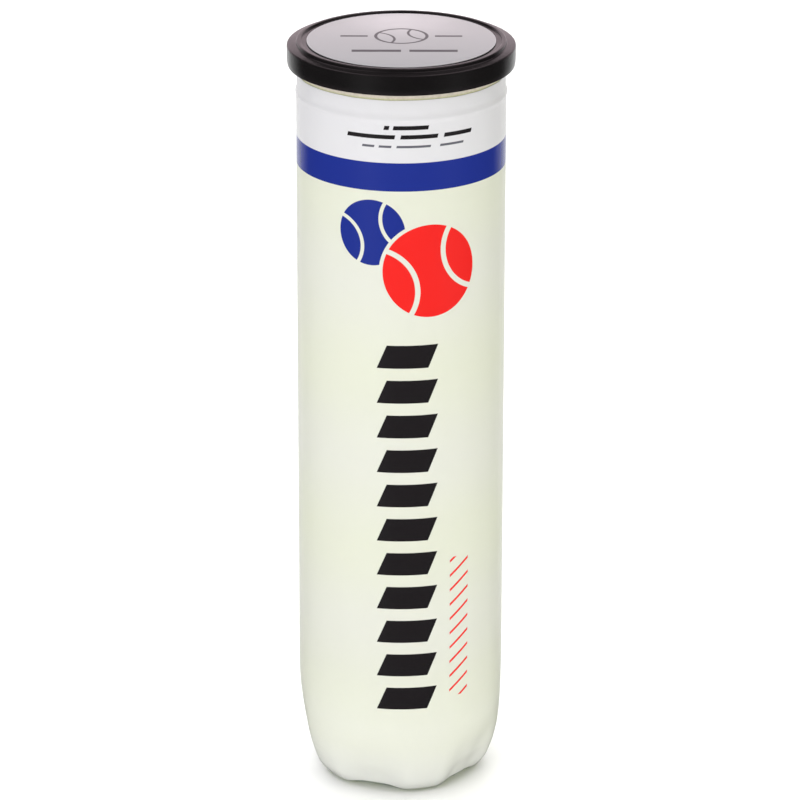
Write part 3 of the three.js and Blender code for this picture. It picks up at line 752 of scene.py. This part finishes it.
def crease(z):
    """Fine creases where the film is drawn round the front foot."""
    a = FRONT
    w = np.zeros_like(a)
    for a0, z0, wa, tilt in ((0.20, 14.6, 0.16, 2.0), (0.30, 12.3, 0.10, -1.0), (-1.05, 13.0, 0.15, 1.5), (1.45, 15.0, 0.14, -2.0),
                             (2.7, 13.5, 0.16, 1.0), (-2.35, 12.8, 0.15, -1.5)):
        w = w - 0.07 * np.exp(-((a - a0) / wa) ** 2) * np.exp(-((z - z0 - tilt * (a - a0)) / 0.45) ** 2)
        w = w + 0.06 * np.exp(-((a - a0) / wa) ** 2) * np.exp(-((z - z0 - 1.0 - tilt * (a - a0)) / 0.5) ** 2)
    return w


def moved(row, wave):
    """A row pushed straight out from the axis."""
    r = np.hypot(row[:, 0], row[:, 1])
    k = (r + wave) / r
    return np.stack([row[:, 0] * k, row[:, 1] * k, row[:, 2]], 1)


def film():
    outer, inner = [], []
    for i in range(FILM_FIRST, LAST + 1):
        row = base_row(i, pet_off(i) + FILM_OUT - PET_OUT)
        # the shrunk film is drawn straight across the hollows between the feet
        taut = smoothstep(row[:, 2], 5, 12) * (1 - smoothstep(row[:, 2], 20, 36)) * (1 - WEIGHT) ** 1.2
        taut = taut * (1 - np.exp(-((FRONT + 1.606) / 0.5) ** 2))
        row = moved(row, 1.25 * taut)
        zr = float(row[:, 2].mean())
        if i == LAST:
            outer.append(moved(row, film_wave(zr)))
        else:
            outer.append(moved(row, film_wave(zr) + crease(row[:, 2])))
        inner.append(base_row(i, pet_off(i) + FILM_IN - PET_OUT))
    for d, z in STRAIGHT + [b for b in BEAD if b[1] < FILM_TOP - 0.1]:
        outer.append(moved(round_row(WALL_R + FILM_OUT + d, z), film_wave(z)))
        inner.append(round_row(WALL_R + FILM_IN + d, z))
    ragged = FILM_TOP + 0.05 * np.sin(7 * FRONT) + 0.03 * np.sin(19 * FRONT + 1)
    d = BEAD[-1][0]
    outer.append(moved(round_row(WALL_R + FILM_OUT + d, ragged), film_wave(FILM_TOP)))
    inner.append(round_row(WALL_R + FILM_IN + d, ragged))
    rows = outer + inner[::-1]
    k = len(outer)
    o = rows_object("printed_sleeve_film", rows, True, 60, (FILM, FILM_BACK), lambda i: 1 if i >= k else 0)
    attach(o, "can")
    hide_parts("printed_sleeve")
    return o


bottle()
film()

# ------------------------------------------------------------------ metal end
end_profile = [
    (37.85, 271.0), (38.2, 271.35), (38.2, 274.25), (37.75, 274.7), (35.6, 274.7), (35.0, 274.2), (34.9, 270.75), (34.65, 270.3),
    (33.9, 270.3), (33.9, 269.8), (35.1, 269.8), (35.35, 270.2), (35.35, 273.9), (35.7, 274.25), (37.55, 274.25), (37.8, 274.0),
    (37.8, 271.55), (36.75, 271.4), (36.75, 271.0),
]
end_profile = fillet(end_profile, {0: 0.3, 1: 0.35, 2: 0.5, 3: 0.5, 4: 0.6, 5: 0.5, 6: 0.3, 7: 0.3, 8: 0.12, 9: 0.12, 10: 0.25,
                                   11: 0.2, 17: 0.1, 18: 0.1}, 5, closed=True)
end_ring = turned("end_ring_seam", end_profile, 192, True, 40, (GOLD,))
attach(end_ring, "can")
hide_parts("end_ring")

seal = turned("seam_compound_ring", fillet([(35.95, 273.5), (37.35, 273.5), (37.35, 273.95), (35.95, 273.95)],
                                           {0: 0.15, 1: 0.15, 2: 0.15, 3: 0.15}, 3, closed=True), 144, True, 60, (COMPOUND,))
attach(seal, "can")
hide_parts("sealing_ring")


def tear_panel():
    """Turned panel with a score at its edge, a bead, and pressed finger and stiffening recesses under the tab."""
    n = 240
    radii = np.concatenate([[0], np.arange(1.0, 24.0, 0.55), np.arange(24.0, 33.61, 0.2)])
    radii[-1] = 33.6
    ang = np.arange(n) * TAU / n

    def top(r, a):
        x, y = r * np.cos(a), r * np.sin(a)
        h = np.full_like(x, 270.3)
        h = h - 0.7 * smoothstep(r, 26.3, 27.3) * (1 - smoothstep(r, 30.1, 31.1))       # stiffening bead
        h = h + 0.16 * np.exp(-((r - 32.3) / 0.45) ** 2)                                 # fold beside the score
        h = h - 0.14 * np.exp(-((r - 33.25) / 0.16) ** 2)                                # score
        # finger well under the ring, away from the rivet
        d = np.hypot(x, (y - 7.5) * 1.0)
        h = h - 0.32 * (1 - smoothstep(d, 7.0, 9.5))
        # two shallow ribs beside the tab
        for s in (-1, 1):
            q = np.hypot(np.maximum(np.abs(y - 6) - 9, 0), x - s * 17.0)
            h = h + 0.22 * (1 - smoothstep(q, 0.6, 1.9))
        # coined ring round the rivet
        q = np.hypot(x, y - 23.9)
        h = h + 0.12 * np.exp(-((q - 5.0) / 0.5) ** 2)
        return h

    verts, faces = [], []
    rows = []
    for r in radii:
        if r == 0:
            rows.append([len(verts)])
            verts.append((0, 0, float(top(np.zeros(1), np.zeros(1))[0])))
        else:
            rows.append(list(range(len(verts), len(verts) + n)))
            h = top(np.full(n, r), ang)
            verts.extend(zip(r * np.cos(ang), r * np.sin(ang), h))
    lower = []
    for r in radii:
        t = 0.5
        if r == 0:
            lower.append([len(verts)])
            verts.append((0, 0, float(top(np.zeros(1), np.zeros(1))[0]) - t + 0.32))
        else:
            lower.append(list(range(len(verts), len(verts) + n)))
            h = np.minimum(top(np.full(n, r), ang) - t, 269.85)
            # the underside stays clear of the top ball
            h = np.where(r < 20, 269.78, h)
            verts.extend(zip(r * np.cos(ang), r * np.sin(ang), h))
    m = len(rows)
    for i in range(m - 1):
        a, b = rows[i], rows[i + 1]
        c, d = lower[i], lower[i + 1]
        for k in range(n):
            k1 = (k + 1) % n
            if len(a) == 1:
                faces.append((a[0], b[k], b[k1]))
                faces.append((c[0], d[k1], d[k]))
            else:
                faces.append((a[k], b[k], b[k1], a[k1]))
                faces.append((c[k], c[k1], d[k1], d[k]))
    for k in range(n):
        k1 = (k + 1) % n
        faces.append((rows[-1][k], lower[-1][k], lower[-1][k1], rows[-1][k1]))
    o = new_object("tear_panel_gold", verts, faces, 50, (GOLD,))
    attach(o, "end_panel")
    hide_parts("tear_panel")
    return o


tear_panel()


def polyline_distance(p, poly):
    """Distance from points p (n, 2) to a closed polyline."""
    best = np.full(len(p), 1e9)
    for i in range(len(poly)):
        a, b = poly[i], poly[(i + 1) % len(poly)]
        ab = b - a
        t = np.clip(((p - a) @ ab) / max(float(ab @ ab), 1e-12), 0, 1)
        best = np.minimum(best, np.linalg.norm(p - (a + t[:, None] * ab), axis=1))
    return best


def inside(p, poly):
    r = np.zeros(len(p), bool)
    for i in range(len(poly)):
        a, b = poly[i], poly[(i + 1) % len(poly)]
        cross = ((a[1] > p[:, 1]) != (b[1] > p[:, 1]))
        with np.errstate(divide="ignore", invalid="ignore"):
            xx = (b[0] - a[0]) * (p[:, 1] - a[1]) / (b[1] - a[1]) + a[0]
        r ^= cross & (p[:, 0] < xx)
    return r


def resample(poly, step):
    poly = np.array(poly, float)
    closed = np.vstack([poly, poly[:1]])
    seg = np.linalg.norm(np.diff(closed, axis=0), axis=1)
    total = seg.sum()
    k = max(12, int(round(total / step)))
    s = np.arange(k) * total / k
    cum = np.concatenate([[0], np.cumsum(seg)])
    return np.stack([np.interp(s, cum, closed[:, 0]), np.interp(s, cum, closed[:, 1])], 1)


def round_corners(points, radii, steps=6):
    pts = fillet([tuple(p) for p in points], {i: r for i, r in enumerate(radii) if r}, steps, closed=True)
    return np.array(pts)


def stamped(name, outer, holes, heights, mats):
    """A stamped sheet piece seen from above. heights(d, x, y) gives (top, bottom) at distance d from the nearest edge."""
    loops = [resample(outer, 0.32)] + [resample(h, 0.32) for h in holes]
    levels = (0.0, 0.05, 0.16, 0.34, 0.58, 0.84, 1.05, 1.3, 1.6)
    pts, tags = [], []
    edges = []
    for li, loop in enumerate(loops):
        nxt, prv = np.roll(loop, -1, 0), np.roll(loop, 1, 0)
        t = nxt - prv
        t /= np.linalg.norm(t, axis=1, keepdims=True)
        area = 0.5 * np.sum(loop[:, 0] * nxt[:, 1] - nxt[:, 0] * loop[:, 1])
        side = 1 if (area > 0) == (li == 0) else -1
        nrm = np.stack([-t[:, 1], t[:, 0]], 1) * side
        for lv in levels:
            q = loop + nrm * lv
            if lv > 0:
                d = np.min([polyline_distance(q, l) for l in loops], axis=0)
                keep = d > lv - 0.03
                q = q[keep]
                pts.extend(q.tolist())
                tags.extend([lv] * len(q))
            else:
                base = len(pts)
                pts.extend(q.tolist())
                tags.extend([0.0] * len(q))
                edges.extend([(base + i, base + (i + 1) % len(q)) for i in range(len(q))])
    lo, hi = loops[0].min(0), loops[0].max(0)
    gx, gy = np.meshgrid(np.arange(lo[0], hi[0], 0.9), np.arange(lo[1], hi[1], 0.9))
    grid = np.stack([gx.ravel(), gy.ravel()], 1)
    ok = inside(grid, loops[0])
    for h in loops[1:]:
        ok &= ~inside(grid, h)
    grid = grid[ok]
    d = np.min([polyline_distance(grid, l) for l in loops], axis=0)
    grid = grid[d > 1.95]
    pts.extend(grid.tolist())
    v2, e2, f2, _, _, _ = geometry.delaunay_2d_cdt([Vector(p) for p in pts], edges, [], 0, 1e-5)
    v2 = np.array([(v.x, v.y) for v in v2])
    tri = np.array([f for f in f2 if len(f) == 3])
    cen = v2[tri].mean(1)
    ok = inside(cen, loops[0])
    for h in loops[1:]:
        ok &= ~inside(cen, h)
    tri = tri[ok]
    used = np.unique(tri)
    remap_ = -np.ones(len(v2), int)
    remap_[used] = np.arange(len(used))
    v2, tri = v2[used], remap_[tri]
    d = np.min([polyline_distance(v2, l) for l in loops], axis=0)
    top, bottom = heights(d, v2[:, 0], v2[:, 1])
    k = len(v2)
    verts = [(p[0], p[1], t) for p, t in zip(v2, top)] + [(p[0], p[1], b) for p, b in zip(v2, bottom)]
    faces = []
    for a, b, c in tri:
        cr = (v2[b] - v2[a])[0] * (v2[c] - v2[a])[1] - (v2[b] - v2[a])[1] * (v2[c] - v2[a])[0]
        if cr < 0:
            b, c = c, b
        faces.append((a, b, c))
        faces.append((a + k, c + k, b + k))
    # side wall where a triangle edge belongs to one triangle only
    seen = {}
    for f in faces[0::2]:
        for i in range(3):
            seen[(f[i], f[(i + 1) % 3])] = True
    for (a, b) in list(seen):
        if (b, a) not in seen:
            faces.append((b, a, a + k, b + k))
    return new_object(name, verts, faces, 60, mats)


def tab_outline():
    cy, r, half = 12.5, 11.5, 6.6
    join = math.asin(half / r)
    pts = [(half, TAB_HINGE[1] - 2.2), (half - 1.9, TAB_HINGE[1]), (-half + 1.9, TAB_HINGE[1]), (-half, TAB_HINGE[1] - 2.2)]
    pts = list(fillet([(half, 22.0)] + pts + [(-half, 22.0)], {1: 1.4, 2: 1.4, 3: 1.4, 4: 1.4}, 6))
    y0 = cy + r * math.cos(join)
    neck = []
    for s in range(1, 60):
        a = math.pi / 2 + join + (TAU - 2 * join) * s / 60
        neck.append((r * math.cos(a), cy + r * math.sin(a)))
    return np.array(pts + neck)


def pull_tab():
    outer = tab_outline()
    hole = np.array([(8.0 * math.cos(a), 11.9 + 8.0 * math.sin(a)) for a in np.arange(96) * TAU / 96])
    pane = round_corners([(4.5, 20.9), (4.5, 27.6), (3.7, 28.3), (-3.7, 28.3), (-4.5, 27.6), (-4.5, 20.9)], [0.5, 0.5, 0.4, 0.4, 0.5, 0.5])
    zc, rc = 271.25, 0.54

    def heights(d, x, y):
        curl = np.sqrt(np.maximum(rc ** 2 - np.maximum(rc - d, 0) ** 2, 0))
        # a rolled bead along the edge that eases down to a thinner web
        ease = smoothstep(d, 0.75, 1.55)
        up = curl * (1 - ease) + ease * 0.10
        down = curl * (1 - ease) + ease * 0.34
        # stiffening emboss across the nose
        e = 0.22 * np.exp(-((y - 19.9) / 0.45) ** 2) * (np.abs(x) < 5.5)
        return zc + np.minimum(up + e * ease, 0.55), zc - down

    o = stamped("pull_tab_ring", outer, [hole, pane], heights, (ALU,))
    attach(o, "pull_tab")
    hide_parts("pull_tab")
    return o


pull_tab()


def rivet():
    outline = round_corners([(-3.9, 21.3), (3.9, 21.3), (3.9, 26.6), (2.7, 27.8), (-2.7, 27.8), (-3.9, 26.6)], [0.6, 0.6, 0.8, 0.8, 0.8, 0.8])

    def heights(d, x, y):
        q = np.hypot(x, y - 23.9)
        edge = 0.10 * (1 - smoothstep(d, 0, 0.25))
        top = 271.35 - edge
        # head of the rivet
        head = 271.98 + 0.07 * (1 - smoothstep(q, 0, 1.6)) - 0.16 * (1 - smoothstep(q, 0.2, 1.2))
        top = np.where(q < 2.95, np.maximum(top, 271.35 + (head - 271.35) * (1 - smoothstep(q, 2.35, 2.9))), top)
        bottom = np.full_like(x, 270.8) + edge
        bottom = np.where(q < 1.7, 270.66, bottom)
        return top, bottom

    o = stamped("rivet_head_and_tongue", outline, [], heights, (ALU,))
    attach(o, "end_panel")
    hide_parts("rivet_and_tongue")
    return o


rivet()

# ------------------------------------------------------------------ overcap and its label
cap_profile = [
    (0, 275.2), (38.5, 275.2), (38.9, 274.8), (38.9, 270.8), (38.5, 270.2), (38.95, 269.5), (39.1, 268.4), (39.85, 268.4),
    (39.98, 268.75), (40.1, 269.5), (40.18, 270.4), (40.2, 271.4), (40.2, 275.62), (37.05, 275.9), (36.75, 277.1), (35.35, 277.1),
    (35.1, 276.4), (0, 276.4),
]
cap_profile = fillet(cap_profile, {1: 0.3, 2: 0.3, 3: 0.4, 4: 0.35, 5: 0.4, 6: 0.15, 7: 0.2, 8: 0.6, 9: 2.0, 10: 3.0, 11: 3.0,
                                   12: 0.5, 13: 0.3, 14: 0.42, 15: 0.42, 16: 0.3}, 6)
# the flat centre is split into more rings so that its gloss stays even
cap_full = []
for i, p in enumerate(cap_profile):
    cap_full.append(p)
    if i + 1 < len(cap_profile):
        q = cap_profile[i + 1]
        d = math.hypot(q[0] - p[0], q[1] - p[1])
        k = int(d // 4)
        for s in range(1, k + 1):
            cap_full.append((p[0] + (q[0] - p[0]) * s / (k + 1), p[1] + (q[1] - p[1]) * s / (k + 1)))
cap = turned("overcap_black", cap_full, 288, False, 50, (CAP,))
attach(cap, "overcap")
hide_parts("overcap")

label = turned("lid_label_disc", fillet([(0, 276.5), (33.2, 276.5), (33.2, 276.85), (0, 276.85)], {1: 0.1, 2: 0.12}, 4),
               240, False, 50, (LABEL,))
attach(label, "overcap")
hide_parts("lid_label")

# ------------------------------------------------------------------ balls
BALL_R, BALL_PITCH, BALL_LOW = 32.8, 65.9, 6.2
SB = 0.22
SA, SC = 1 - SB, 2 * math.sqrt((1 - SB) * SB)


def seam_point(t):
    t = np.asarray(t, float)
    p = np.stack([SA * np.cos(t) + SB * np.cos(3 * t), SA * np.sin(t) - SB * np.sin(3 * t), SC * np.sin(2 * t)], -1)
    return p / np.linalg.norm(p, axis=-1, keepdims=True)


def seam_side(t):
    d = seam_point(np.asarray(t) + 1e-3) - seam_point(np.asarray(t) - 1e-3)
    s = np.cross(seam_point(t), d)
    return s / np.linalg.norm(s, axis=-1, keepdims=True)


def beside(t, dist):
    w = dist / BALL_R
    q = seam_point(t) * math.cos(w) + seam_side(t) * math.sin(w)
    return q / np.linalg.norm(q, axis=-1, keepdims=True)


SIDE = 1 if seam_side(np.array([math.pi / 4]))[0][2] > 0 else -1


def fuzz(p, seed):
    """Uneven nap of the felt, in millimetres, from a few sine waves with fixed phases."""
    g = np.random.default_rng(seed)
    h = np.zeros(len(p))
    for k in range(26):
        d = g.normal(size=3)
        d /= np.linalg.norm(d)
        f = g.uniform(14, 60)
        h += np.sin(p @ d * f + g.uniform(0, TAU)) / math.sqrt(f)
    return 0.11 * h


def felt_panel(seed):
    nu, nv = 84, 36
    u = -math.pi / 4 + math.pi * np.arange(nu + 1) / nu
    a, b = beside(u, SIDE * 1.25), beside(-math.pi / 2 - u, SIDE * 1.25)
    # more points close to the two edges, where the felt turns down into the seam
    v = np.arange(nv + 1) / nv
    v = v - 0.11 * np.sin(2 * math.pi * v)
    verts, rows, dist = [], [], []
    full = seam_point(np.linspace(0, TAU, 720, endpoint=False))
    for i in range(nu + 1):
        ang = math.acos(max(-1, min(1, float(a[i] @ b[i]))))
        if i in (0, nu) or ang < 1e-5:
            rows.append([len(verts)])
            verts.append(a[i])
            continue
        pts = (np.sin((1 - v) * ang)[:, None] * a[i] + np.sin(v * ang)[:, None] * b[i]) / math.sin(ang)
        rows.append(list(range(len(verts), len(verts) + nv + 1)))
        verts.extend(pts)
    p = np.array(verts)
    p /= np.linalg.norm(p, axis=1, keepdims=True)
    gap = np.arccos(np.clip((p @ full.T).max(1), -1, 1)) * BALL_R
    # rounded shoulder beside the seam, then the nap
    shoulder = np.clip((gap - 1.2) / 1.5, 0, 1)
    radius = BALL_R - 1.35 * (1 - np.sqrt(1 - (1 - shoulder) ** 2 + 1e-9)) - 0.16 + np.clip(fuzz(p, seed), -0.16, 0.14) * np.clip(shoulder * 1.5, 0.2, 1)
    radius = np.minimum(radius, BALL_R)
    k = len(p)
    pos = np.vstack([p * radius[:, None], p * 30.2])
    faces = []

    def quad(q, flip):
        faces.append(tuple(reversed(q)) if flip else tuple(q))

    for off, flip in ((0, False), (k, True)):
        for i in range(nu):
            r0, r1 = rows[i], rows[i + 1]
            for j in range(nv):
                if len(r0) == 1:
                    quad((r0[0] + off, r1[j] + off, r1[j + 1] + off), flip)
                elif len(r1) == 1:
                    quad((r0[j] + off, r1[0] + off, r0[j + 1] + off), flip)
                else:
                    quad((r0[j] + off, r1[j] + off, r1[j + 1] + off, r0[j + 1] + off), flip)
    edge = [rows[i][0] for i in range(nu + 1)] + [rows[i][nv] for i in range(nu - 1, 0, -1)]
    for i in range(len(edge)):
        e0, e1 = edge[i], edge[(i + 1) % len(edge)]
        faces.append((e0, e0 + k, e1 + k, e1))
    return pos, faces


def facing_out(pos, faces):
    v = 0.0
    for f in faces:
        for i in range(1, len(f) - 1):
            v += float(np.dot(pos[f[0]], np.cross(pos[f[i]], pos[f[i + 1]])))
    return faces if v > 0 else [tuple(reversed(f)) for f in faces]


def seam_band():
    n = 300
    t = np.arange(n) * TAU / n
    offs = [(-1.2, 30.25), (1.2, 30.25), (1.2, 31.25), (0.95, 31.55), (0.5, 31.72), (0.0, 31.78), (-0.5, 31.72), (-0.95, 31.55), (-1.2, 31.25)]
    pos = np.concatenate([beside(t, SIDE * o) * r for o, r in offs])
    m = len(offs)
    faces = []
    for j in range(m):
        j1 = (j + 1) % m
        for k in range(n):
            k1 = (k + 1) % n
            faces.append((j * n + k, j * n + k1, j1 * n + k1, j1 * n + k))
    return pos, faces


def core_half():
    out, n = [], 72
    prof = []
    for i in range(13):
        a = math.pi / 2 * (12 - i) / 12
        prof.append((26.0 * math.cos(a), max(0.15, 26.0 * math.sin(a))) if i else (0, 26.0))
    prof[-1] = (26.0, 0.15)
    prof += [(29.0, 0.15), (29.2, 0.35)]
    for i in range(1, 15):
        a = math.pi / 2 * i / 14
        prof.append((29.2 * math.cos(a), 29.2 * math.sin(a) if i < 14 else 29.2))
    prof[-1] = (0, 29.2)
    ang = np.arange(n) * TAU / n
    verts, rows, faces = [], [], []
    for r, z in prof:
        if r == 0:
            rows.append([len(verts)])
            verts.append((0, 0, z))
        else:
            rows.append(list(range(len(verts), len(verts) + n)))
            verts.extend(zip(r * np.cos(ang), r * np.sin(ang), np.full(n, z)))
    for i in range(len(rows) - 1):
        a, b = rows[i], rows[i + 1]
        for k in range(n):
            k1 = (k + 1) % n
            if len(a) == 1:
                faces.append((a[0], b[k1], b[k]))
            elif len(b) == 1:
                faces.append((a[k], a[k1], b[0]))
            else:
                faces.append((a[k], a[k1], b[k1], b[k]))
    return np.array(verts, float), faces


def euler(rx, ry, rz):
    rx, ry, rz = map(math.radians, (rx, ry, rz))
    X = np.array([[1, 0, 0], [0, math.cos(rx), -math.sin(rx)], [0, math.sin(rx), math.cos(rx)]])
    Y = np.array([[math.cos(ry), 0, math.sin(ry)], [0, 1, 0], [-math.sin(ry), 0, math.cos(ry)]])
    Z = np.array([[math.cos(rz), -math.sin(rz), 0], [math.sin(rz), math.cos(rz), 0], [0, 0, 1]])
    return X @ Y @ Z


turns = [(28, 34, 12), (-52, 18, 70), (15, -40, 155), (66, 25, -35)]
flip = np.diag([1.0, -1.0, -1.0])
band_pos, band_faces = seam_band()
band_faces = facing_out(band_pos, band_faces)
core_pos, core_faces = core_half()
core_faces = facing_out(core_pos, core_faces)
for i in range(4):
    R = euler(*turns[i])
    c = np.array([0, 0, BALL_LOW + BALL_R + BALL_PITCH * i])
    body = f"ball_{i + 1}"
    for half, turn in (("a", R), ("b", R @ flip)):
        pos, faces = felt_panel(100 + 2 * i + (half == "b"))
        faces = facing_out(pos, faces)
        o = new_object(f"{body}_felt_{half}_nap", pos @ turn.T + c, faces, 70, (FELT,))
        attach(o, body)
        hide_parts(f"{body}_felt_{half}")
        o = new_object(f"{body}_core_{half}_rubber", core_pos @ turn.T + c, core_faces, 40, (RUBBER,))
        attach(o, body)
        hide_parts(f"{body}_core_half_{half}")
    o = new_object(f"{body}_seam_band", band_pos @ R.T + c, band_faces, 50, (SEAM,))
    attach(o, body)
    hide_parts(f"{body}_seam")

# ------------------------------------------------------------------ floor, light, camera
fmat, fnt, fout = new_material("pale_floor")
fn = Net(fnt)
fco = fn.coords()
fx, fy, fz = fn.xyz(fco)
fv = fn.noise(fco, 0.01, 3.0)


def backdrop(net, dx, dy, up=None):
    """How bright the studio looks in reflections: white paper behind the can, dark room in front, a dim box at the front left."""
    flat = net.maxi(net.math("SQRT", net.add(net.mul(dx, dx), net.mul(dy, dy))), 1e-6)
    cos_back = net.math("DIVIDE", dy, flat)
    white = net.remap(cos_back, 0.52, 0.90, 0.045, 0.95)
    az = net.math("ARCTAN2", dx, net.mul(dy, -1.0))
    off = net.mul(net.add(az, 0.62), 1.0 / 0.30)
    dim = net.mul(net.math("EXPONENT", net.mul(net.mul(off, off), -1.0)), 0.18)
    off2 = net.mul(net.sub(az, 0.95), 1.0 / 0.30)
    dim2 = net.mul(net.math("EXPONENT", net.mul(net.mul(off2, off2), -1.0)), 0.10)
    return net.add(white, net.add(dim, dim2))


fd = fn.principled(Base_Color=fn.colour(fv, (0.95, 0.95, 0.95), (0.97, 0.97, 0.97)), Roughness=0.85, Specular_IOR_Level=0.1)
fe = fnt.nodes.new("ShaderNodeEmission")
shade = backdrop(fn, fx, fy)
fnt.links.new(fn.vec(shade, shade, shade), fe.inputs["Color"])
flp = fnt.nodes.new("ShaderNodeLightPath")
fmix = fnt.nodes.new("ShaderNodeMixShader")
fnt.links.new(flp.outputs["Is Glossy Ray"], fmix.inputs[0])
fnt.links.new(fd.outputs[0], fmix.inputs[1])
fnt.links.new(fe.outputs[0], fmix.inputs[2])
fnt.links.new(fmix.outputs[0], fout.inputs[0])
fl = bpy.data.meshes.new("floor")
s = 12.0
fl.from_pydata([(-s, -s, 0), (s, -s, 0), (s, s, 0), (-s, s, 0)], [], [(0, 1, 2, 3)])
fl.materials.append(fmat)
floor = bpy.data.objects.new("floor", fl)
floor.location.z = -0.0002
scene.collection.objects.link(floor)

world = bpy.data.worlds.new("studio")
scene.world = world
world.use_nodes = True
wnt = world.node_tree
wnt.nodes.clear()
wout = wnt.nodes.new("ShaderNodeOutputWorld")
wn = Net(wnt)
wtc = wnt.nodes.new("ShaderNodeTexCoord")
wx, wy, wz = wn.xyz(wtc.outputs["Generated"])
soft_bg = wnt.nodes.new("ShaderNodeBackground")
wnt.links.new(wn.vec(0.995, 0.995, wn.sub(1.0, wn.mul(wn.maxi(wx, 0.0), 0.15))), soft_bg.inputs["Color"])
wn.put(wn.add(0.785, wn.mul(wx, -0.01)), soft_bg.inputs["Strength"])
gloss_bg = wnt.nodes.new("ShaderNodeBackground")
gloss_bg.inputs["Color"].default_value = (1.15, 0.95, 1.02, 1.0)
around = backdrop(wn, wx, wy)
over = wn.remap(wn.absolute(wn.add(wx, 0.07)), 0.08, 0.40, 0.16, 0.85)
paper = wn.remap(wz, 0.35, 0.44, 1.0, 0.0)
wn.put(wn.add(wn.mul(around, paper), wn.mul(over, wn.remap(wz, 0.50, 0.70, 0.0, 1.0))), gloss_bg.inputs["Strength"])
wlp = wnt.nodes.new("ShaderNodeLightPath")
wmix = wnt.nodes.new("ShaderNodeMixShader")
wnt.links.new(wlp.outputs["Is Glossy Ray"], wmix.inputs[0])
wnt.links.new(soft_bg.outputs[0], wmix.inputs[1])
wnt.links.new(gloss_bg.outputs[0], wmix.inputs[2])
wnt.links.new(wmix.outputs[0], wout.inputs[0])


def area(name, loc, target, size, power, colour=(1, 1, 1), size_y=None):
    d = bpy.data.lights.new(name, "AREA")
    d.shape = "RECTANGLE" if size_y else "SQUARE"
    d.size = size
    if size_y:
        d.size_y = size_y
    d.energy = power
    d.color = colour
    o = bpy.data.objects.new(name, d)
    o.location = loc
    o.rotation_mode = "QUATERNION"
    o.rotation_quaternion = (Vector(target) - Vector(loc)).to_track_quat("-Z", "Y")
    scene.collection.objects.link(o)
    return o


for light in (area("key", (-0.9, -1.5, 1.2), (0, 0, 0.14), 1.2, 7.4), area("front", (0.05, -1.9, 0.4), (0, 0, 0.12), 1.0, 7.4),
              area("back", (0.0, 1.9, 0.7), (0, 0, 0.14), 1.0, 8.0), area("top", (0.0, 0.3, 2.2), (0, 0, 0.2), 1.8, 26)):
    light.visible_glossy = False
low = area("low", (0.25, -0.11, 0.02), (0.02, -0.01, 0.02), 0.08, 0.027)
low.visible_glossy = False
low.visible_camera = False

cam_data = bpy.data.cameras.new("camera")
cam = bpy.data.objects.new("camera", cam_data)
scene.collection.objects.link(cam)
D, PHI, F_PX, Z_T = 1.73805, math.radians(20.6856), 4827.3, 0.1417
target = Vector((0, 0, Z_T))
back = Vector((0, -math.cos(PHI), math.sin(PHI)))
cam.location = target + back * D
cam.rotation_mode = "QUATERNION"
q = (-back).to_track_quat("-Z", "Y")
cam.rotation_quaternion = q @ Quaternion((0, 0, 1), 0.00147)
cam_data.sensor_width = 36.0
cam_data.lens = F_PX * 36.0 / 800.0
cam_data.shift_x = -0.80 / 800.0
cam_data.shift_y = 0.75 / 800.0
cam_data.clip_start, cam_data.clip_end = 0.05, 60
scene.camera = cam
